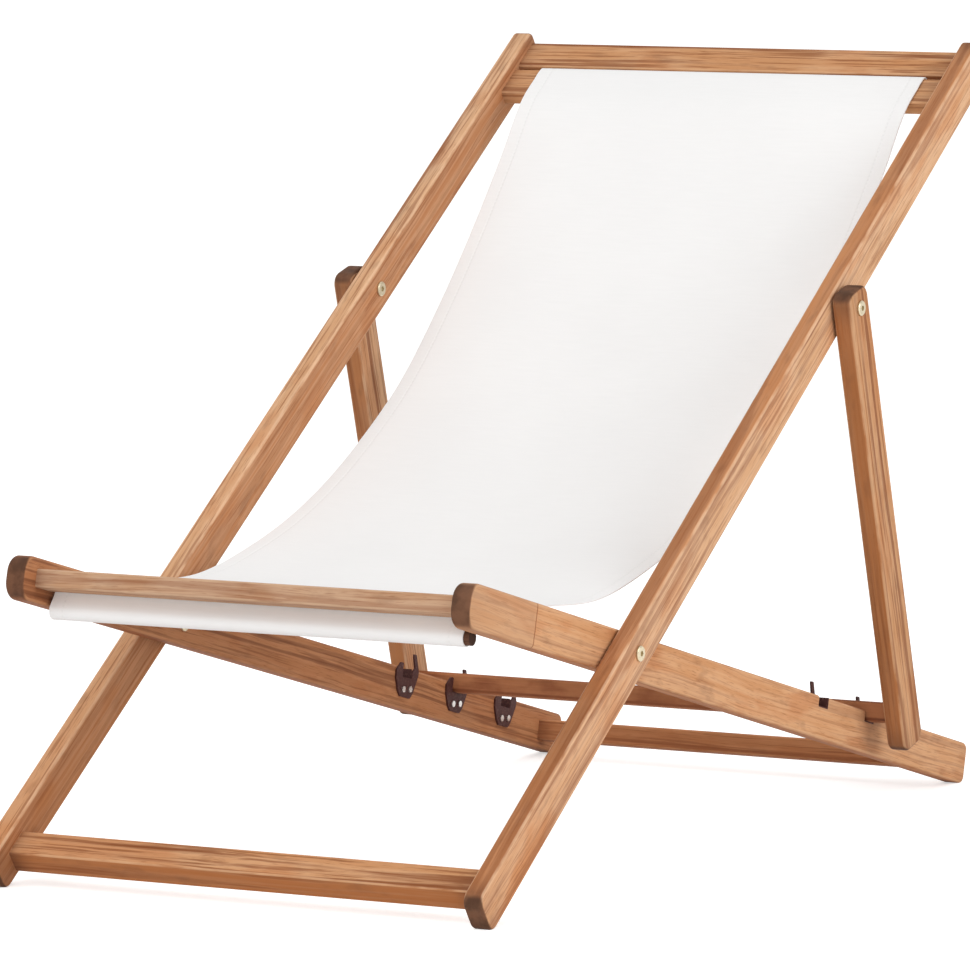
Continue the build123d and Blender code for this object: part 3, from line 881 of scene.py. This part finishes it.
@dataclass
class Sling:
    """The fabric sling: one sheet from the front dowel, along a deep sag, to the top dowel.

    Attributes:
        pivot: Front-to-back and upward place of the frame pivot.
        half: Half its width in metres.
        pocket: Inner layer of the front hem in its slot, along and across the seat frame.
        front_hem: The hem round the front dowel.
        rising: Outer layer of that hem up to the start of the sag, on the same frame.
        sag: Points of the sag, as shares of the chord between the slots: along it, and below it.
        falling: From the end of the sag through the top slot, along and across the back frame.
        top_hem: The hem round the top dowel.
        stride: Longest step along the cloth in metres.
        slack_from: Share of its length at which it begins to hang free.
        slack_share: Share of its length that hangs free.
        lift: How far its edges stand above its middle where it hangs free.
        dip: How far its middle hangs below its line there.
        ripple: Height of its ripples.
        ripple_turns: How fast the ripples turn across the cloth and along it.
        ease: How far each long border lies outside half its width, and its ends to the sides.
        waist: How far its edges pull in where it hangs free.
        thick: Thickness of the cloth.
        columns: How many strips it has across.
    """

    pivot: Pair
    half: float = 0.216
    pocket: tuple[Pair, ...] = ((-0.2419, 0.0020), (-0.2413, -0.0060), (-0.2390, -0.0140))
    front_hem: Hem = Hem(Slope.SEAT, -0.243, -0.024, 0.0079, 72.0, 288.0)
    rising: tuple[Pair, ...] = (
        (-0.2470, -0.0140),
        (-0.2446, -0.0070),
        (-0.2437, 0.0),
        (-0.2431, 0.0070),
        (-0.2415, 0.0104),
        (-0.2370, 0.0119),
        (-0.2226, 0.0131),
    )
    sag: tuple[Pair, ...] = (
        (0.124, 0.0800),
        (0.195, 0.1170),
        (0.295, 0.1446),
        (0.376, 0.1575),
        (0.464, 0.1610),
        (0.534, 0.1570),
        (0.620, 0.1457),
        (0.743, 0.1100),
        (0.844, 0.0710),
        (0.9155, 0.0390),
    )
    falling: tuple[Pair, ...] = (
        (0.8338, 0.0104),
        (0.8550, 0.0104),
        (0.8720, 0.0104),
        (0.8765, 0.0089),
        (0.8780, 0.0059),
        (0.8780, 0.0),
        (0.8780, -0.0045),
    )
    top_hem: Hem = Hem(Slope.BACK, 0.878, -0.01535, 0.0077, -8.0, -348.0)
    stride: float = 0.009
    slack_from: float = 0.06
    slack_share: float = 0.88
    lift: float = 0.0045
    dip: float = 0.0022
    ripple: float = 0.0012
    ripple_turns: Pair = (7.0, 9.0)
    ease: float = 0.003
    waist: float = 0.0035
    thick: float = 0.0011
    columns: int = 44

    def at(self, slope: Slope, along: float, across: float) -> Pair:
        """Give the place of a point that is stated along and across a frame.

        Args:
            slope: The frame's slope.
            along: Distance from the pivot along the frame.
            across: Distance from the frame's middle.

        Returns:
            Its place from front to back, and its height.
        """
        y = self.pivot[0] + along * slope.run - across * slope.rise
        z = self.pivot[1] + along * slope.rise + across * slope.run
        return y, z

    def loop(self, hem: Hem) -> list[Pair]:
        """Give points of a hem round its dowel.

        Args:
            hem: The hem.

        Returns:
            The points, as places from front to back and up.
        """
        points = []
        for step in range(hem.steps + 1):
            angle = math.radians(hem.start + (hem.end - hem.start) * step / hem.steps)
            along = hem.along + hem.radius * math.sin(angle)
            across = hem.across + hem.radius * math.cos(angle)
            points.append(self.at(hem.slope, along, across))
        return points

    def path(self) -> list[Pair]:
        """Follow the middle of the cloth from its front hem to its top hem.

        Returns:
            Its points, as places from front to back and up.
        """
        pocket = [self.at(Slope.SEAT, *place) for place in self.pocket]
        rising = [self.at(Slope.SEAT, *place) for place in self.rising]
        falling = [self.at(Slope.BACK, *place) for place in self.falling]
        (y, z), (end_y, end_z) = rising[-1], falling[0]
        back, up = end_y - y, end_z - z
        sag = [(y + t * back + d * up, z + t * up - d * back) for t, d in self.sag]
        front = pocket + self.loop(self.front_hem) + rising
        return front + sag + falling + self.loop(self.top_hem)

    def smooth_path(self) -> list[Vector]:
        """Draw an even curve through all the points of the path.

        Returns:
            Close points of the curve.
        """
        points = [Vector((0.0, y, z)) for y, z in self.path()]
        steps = [last - first for first, last in zip(points, points[1:])]
        spans = [step.length for step in steps]
        runs = [step / span for step, span in zip(steps, spans)]
        heads = [runs[0]]
        for index in range(1, len(spans)):
            share = spans[index - 1] / (spans[index - 1] + spans[index])
            heads.append(runs[index - 1].lerp(runs[index], share))
        heads.append(runs[-1])
        curve: list[Vector] = []
        for index, span in enumerate(spans):
            count = max(2, int(span / self.stride))
            for step in range(count):
                t = step / count
                middle = points[index].lerp(points[index + 1], t * t * (3.0 - 2.0 * t))
                lead = span * t * (1.0 - t) ** 2 * heads[index]
                trail = span * t * t * (1.0 - t) * heads[index + 1]
                curve.append(middle + lead - trail)
        curve.append(points[-1])
        return curve

    def point(self, centre: Vector, share: float, across: float) -> Point:
        """Give one point of the cloth, with its droop and ripple.

        Args:
            centre: The point of the curve that it lies beside.
            share: How far along the cloth that is, from 0 to 1.
            across: How far it is to the side, from -1 to 1.

        Returns:
            Its place.
        """
        free = min(max((share - self.slack_from) / self.slack_share, 0.0), 1.0)
        slack = math.sin(math.pi * free) ** 2
        droop = slack * (self.lift * across**2 - self.dip)
        turns = self.ripple_turns[0] * across + self.ripple_turns[1] * share
        wave = slack * self.ripple * math.sin(turns)
        spread = self.ease * (across + 2.0 * share - 1.0) - slack * self.waist * across
        return self.half * across + spread, centre.y, centre.z + droop + wave

    def mesh(self, curve: Sequence[Vector], lengths: Sequence[float]) -> bpy.types.Mesh:
        """Make the sheet without its thickness.

        Args:
            curve: Points of its middle line.
            lengths: Length of cloth up to each of them.

        Returns:
            The mesh, with the cloth laid flat as its UV map.
        """
        row = self.columns + 1
        vertices, faces, uvs = [], [], []
        for centre, length in zip(curve, lengths):
            for column in range(row):
                across = -1.0 + 2.0 * column / self.columns
                vertices.append(self.point(centre, length / lengths[-1], across))
                uvs.append((self.half * across, length))
        for index in range(len(curve) - 1):
            for column in range(self.columns):
                corner = index * row + column
                faces.append((corner, corner + row, corner + row + 1, corner + 1))
        mesh = bpy.data.meshes.new("sling_cloth")
        mesh.from_pydata(vertices, [], faces)
        layer = mesh.uv_layers.new(name="weave")
        for loop in mesh.loops:
            layer.data[loop.index].uv = uvs[loop.vertex_index]
        return mesh

    def build(self) -> None:
        """Make the cloth, hang it between its two frames and let it stand for the CAD sheet."""
        curve = self.smooth_path()
        lengths = [0.0]
        for first, last in zip(curve, curve[1:]):
            lengths.append(lengths[-1] + (last - first).length)
        cloth = bpy.data.objects.new("sling_cloth", self.mesh(curve, lengths))
        bpy.context.collection.objects.link(cloth)
        solidify(cloth, self.thick)
        paint(cloth, canvas_material("canvas", CANVAS, self.half))
        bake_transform(cloth)
        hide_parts("sling")


@dataclass(frozen=True)
class Lamp:
    """One soft square light.

    Attributes:
        name: Its name.
        place: Where it hangs.
        size: Width of its face in metres.
        power: Power in watts.
        target: Where it points.
    """

    name: str
    place: Point
    size: float
    power: float
    target: Point = (0.0, 0.0, 0.3)

    def hang(self) -> None:
        """Hang the light."""
        bpy.ops.object.light_add(type="AREA", location=self.place)
        light = bpy.context.object
        light.name = self.name
        light.data.size = self.size
        light.data.energy = self.power
        way = Vector(self.target) - Vector(self.place)
        light.rotation_euler = way.to_track_quat("-Z", "Y").to_euler()


@dataclass
class Studio:
    """White floor, lights and the camera at the photo's angle.

    Attributes:
        pivot: Front-to-back and upward place of the frame pivot.
        eye: The camera's place from the frame pivot in metres.
        azimuth: Its turn about the upright axis in degrees.
        elevation: How far it looks down in degrees.
        lens: Focal length in millimetres.
        sensor: Width of its sensor in millimetres.
        floor_size: Width of the square floor in metres.
        floor_middle: Middle of the floor.
        floor_colour: Colour of the floor.
        floor_roughness: Roughness of the floor.
        floor_specular: Specular level of the floor.
        glow: How far the floor shows brighter than it is lit, so that it meets the white sky.
        lamps: The lights.
    """

    pivot: Pair
    eye: Point = (3.33054, -5.95012, 0.83452)
    azimuth: float = 28.47
    elevation: float = 5.78
    lens: float = 269.49
    sensor: float = 36.0
    floor_size: float = 60.0
    floor_middle: Point = (0.0, 8.0, 0.0)
    floor_colour: Colour = (0.92, 0.92, 0.92)
    floor_roughness: float = 0.9
    floor_specular: float = 0.1
    glow: float = 0.55
    lamps: tuple[Lamp, ...] = (
        Lamp("key", (-1.6, -3.2, 4.2), 3.0, 66.0),
        Lamp("front", (1.2, -4.4, 1.7), 2.6, 36.0),
        Lamp("right", (4.5, 0.1, 1.9), 3.4, 92.0),
    )

    def floor(self) -> None:
        """Lay a pale floor that runs out of the picture on every side."""
        bpy.ops.mesh.primitive_plane_add(size=self.floor_size, location=self.floor_middle)
        floor = bpy.context.object
        floor.name = "floor"
        material = Material("floor_white")
        glow = material.background_rays() * self.glow
        material.set(Base_Color=self.floor_colour, Roughness=self.floor_roughness)
        material.set(Specular_IOR_Level=self.floor_specular)
        material.set(Emission_Color=glow.mix(BLACK, WHITE), Emission_Strength=1.0)
        paint(floor, material.data)

    def camera(self) -> None:
        """Set the camera where the photo was taken from."""
        turn = (math.radians(90.0 - self.elevation), 0.0, math.radians(self.azimuth))
        place = (self.eye[0], self.eye[1] + self.pivot[0], self.eye[2] + self.pivot[1])
        bpy.ops.object.camera_add(location=place, rotation=turn)
        camera = bpy.context.object
        camera.data.lens = self.lens
        camera.data.sensor_width = self.sensor
        bpy.context.scene.camera = camera

    def build(self) -> None:
        """Set up the floor, the lights, the sky and the camera."""
        self.floor()
        for lamp in self.lamps:
            lamp.hang()
        scene = bpy.context.scene
        scene.world = Sky("sky").data
        scene.view_settings.view_transform = "Standard"
        self.camera()


def paint(piece: bpy.types.Object, material: bpy.types.Material) -> None:
    """Give a piece one material."""
    piece.data.materials.clear()
    piece.data.materials.append(material)


def solidify(piece: bpy.types.Object, thick: float) -> None:
    """Give a sheet its thickness, evenly on both sides, and smooth its shading.

    Args:
        piece: The sheet.
        thick: The thickness in metres.
    """
    bpy.ops.object.select_all(action="DESELECT")
    piece.select_set(True)
    bpy.context.view_layer.objects.active = piece
    wall = piece.modifiers.new("wall", "SOLIDIFY")
    wall.thickness = thick
    wall.offset = 0.0
    bpy.ops.object.modifier_apply(modifier=wall.name)
    bpy.ops.object.shade_smooth_by_angle(angle=math.radians(CREASE_DEGREES))


def frames() -> tuple[Frame, ...]:
    """Choose the boards of each frame and of the dowels.

    Returns:
        The back frame, the seat frame, the prop frame and the dowels.
    """
    # The left back rail's broad inner side takes painted shade for the sling's shadow, and its
    # narrow faces take none.
    back = {
        "back_rail_left": Board(8.5, finish=PALE, shade=1.05, rim_shade=0.0, flank_shade=0.55, ripe=0.5),
        "back_rail_right": Board(12.9, finish=PALE, shade=1.03, figure=0.75, ripe=0.35),
        "top_rail": Board(12.3, across=True, figure=1.2, under_shade=0.15),
        "top_slot_rail": Board(19.0, across=True),
        "foot_rail": Board(20.3, across=True, figure=1.2, under_shade=0.75),
    }
    seat = {
        "seat_rail_left": Board(8.5, finish=RUDDY),
        "seat_rail_right": Board(12.9, figure=0.55, splice=-0.452),
        "front_rail": Board(13.5, across=True, finish=WEATHERED, figure=0.7),
        "front_slot_rail": Board(20.2, across=True),
        "rear_rail": Board(20.3, across=True, finish=RUDDY, shade=1.15, under_shade=0.4),
    }
    prop = {
        "prop_strut_left": Board(9.2, finish=PALE, shade=0.94),
        "prop_strut_right": Board(13.4, shade=0.89),
        # The prop bar's front and underside take strong painted shade.
        "prop_bar": Board(12.3, across=True, finish=SHADED_BAR_STOCK, under_shade=0.85),
    }
    dowels = {
        "top_sling_rod": Board(2.0, across=True, finish=DOWEL, wear_and_highlight=0.0),
        "front_sling_rod": Board(2.6, across=True, finish=DOWEL, wear_and_highlight=0.0),
    }
    return (
        Frame(Slope.BACK, back),
        Frame(Slope.SEAT, seat),
        Frame(Slope.STRUT, prop),
        Frame(Slope.SEAT, dowels),
    )


def main() -> None:
    """Dress the CAD frame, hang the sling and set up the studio."""
    logging.basicConfig(level=logging.INFO, format="%(message)s")
    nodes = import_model()["nodes"]
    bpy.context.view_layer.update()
    for part in frames():
        part.dress(nodes)
    hooks = [name for name in nodes if name.startswith("hook_") and name != "hook_screws"]
    bright = ("hook_screws", "frame_washers", "prop_washers")
    brass = ("frame_bolts", "frame_nuts", "prop_bolts", "prop_nuts")
    Hardware(hooks, bright, brass).dress(nodes)
    low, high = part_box("frame_bolts")
    pivot = ((low[1] + high[1]) / 2, (low[2] + high[2]) / 2)
    Sling(pivot).build()
    Studio(pivot).build()


if __name__ == "__main__":
    main()
